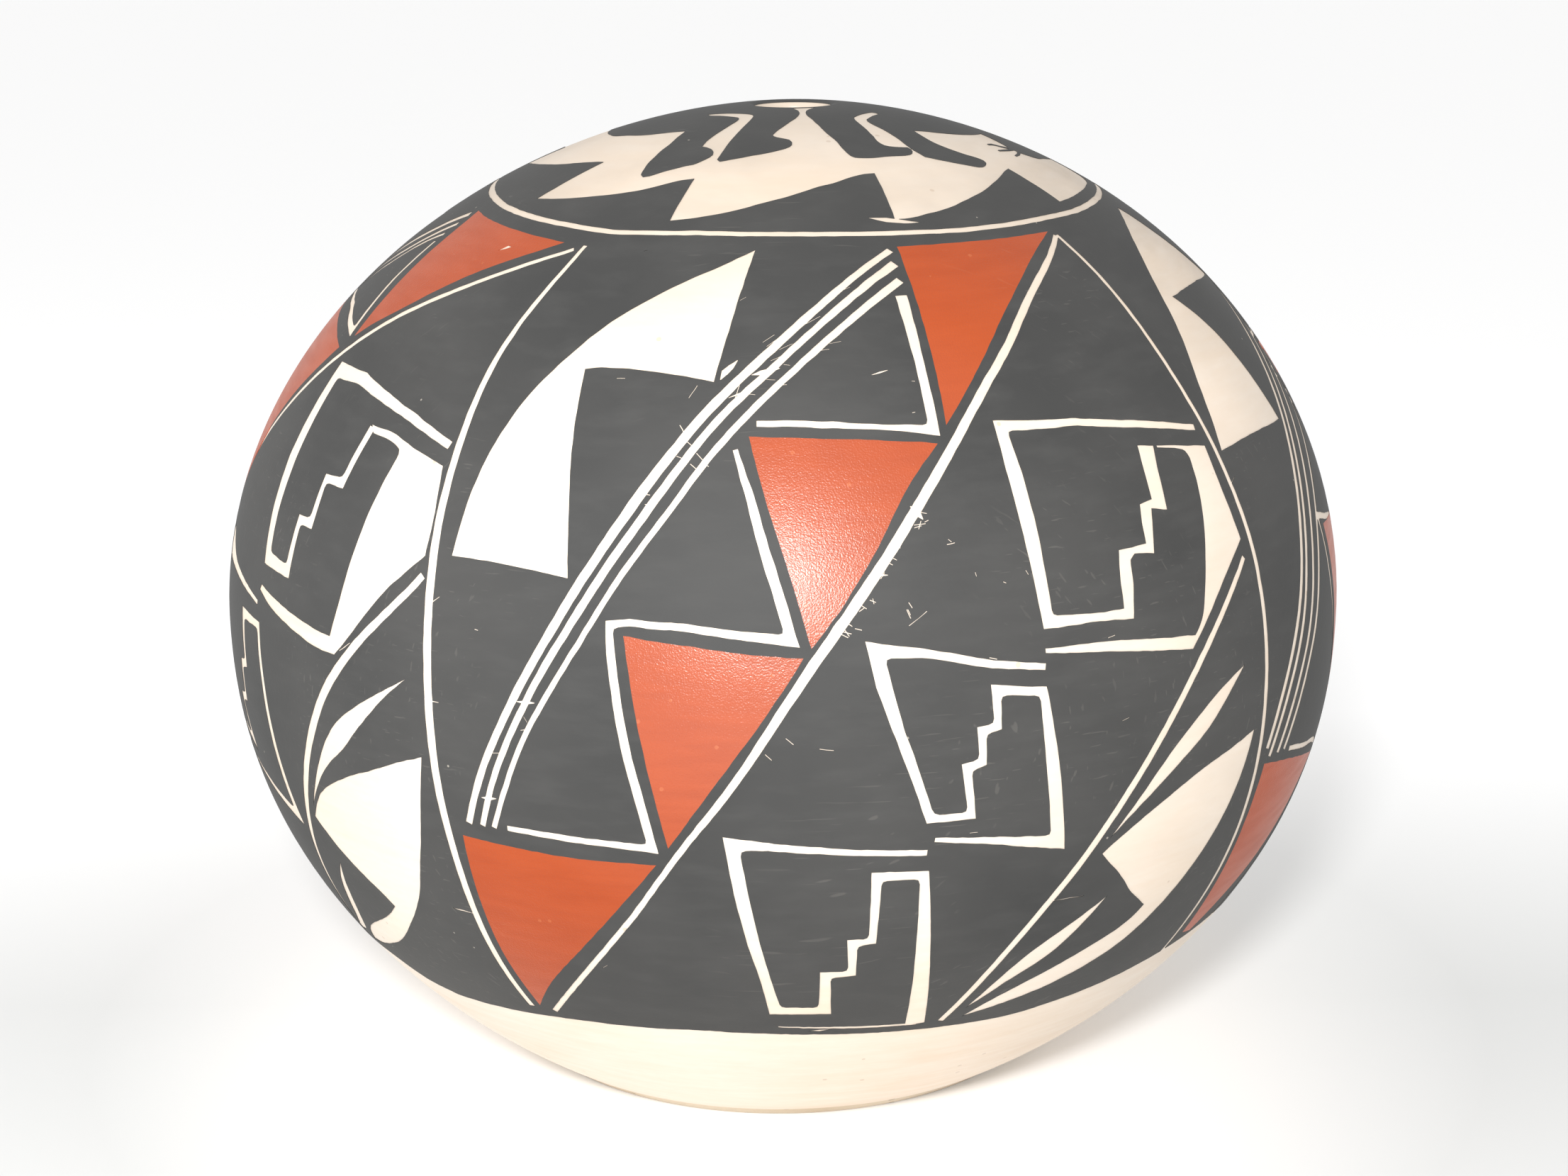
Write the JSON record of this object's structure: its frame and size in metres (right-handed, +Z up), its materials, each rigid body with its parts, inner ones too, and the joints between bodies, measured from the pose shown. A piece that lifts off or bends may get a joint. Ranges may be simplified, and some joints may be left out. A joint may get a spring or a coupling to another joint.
{
  "type": "pueblo pottery seed jar",
  "caption": "Round coil-built seed jar with a flat foot, a wide shoulder and a small mouth, cream slip and black and red painted panels of steps, leaves and fine lines.",
  "frame": {"origin": "centre of the flat foot, on the surface that the jar stands on", "axes": "+Z up along the jar's axis through the mouth, -Y towards the front that the picture shows, +X to its right"},
  "size_m": [0.23, 0.23, 0.1954],
  "materials": {
    "clay": "fired, bare",
    "cream_slip": "stone-polished satin",
    "black_paint": "matte mineral paint",
    "red_slip": "stone-polished satin"
  },
  "bodies": {
    "root": {"base_bowl": "clay", "wall_coil_1": "clay", "wall_coil_2": "clay", "wall_coil_3": "clay", "wall_coil_4": "clay", "wall_coil_5": "clay", "wall_coil_6": "clay", "wall_coil_7": "clay", "wall_coil_8": "clay", "wall_coil_9": "clay", "wall_coil_10": "clay", "mouth_coil": "clay", "cream_slip": "cream_slip", "black_band": "black_paint", "red_steps": "red_slip", "crown_fins": "black_paint"}
  },
  "joints": []
}
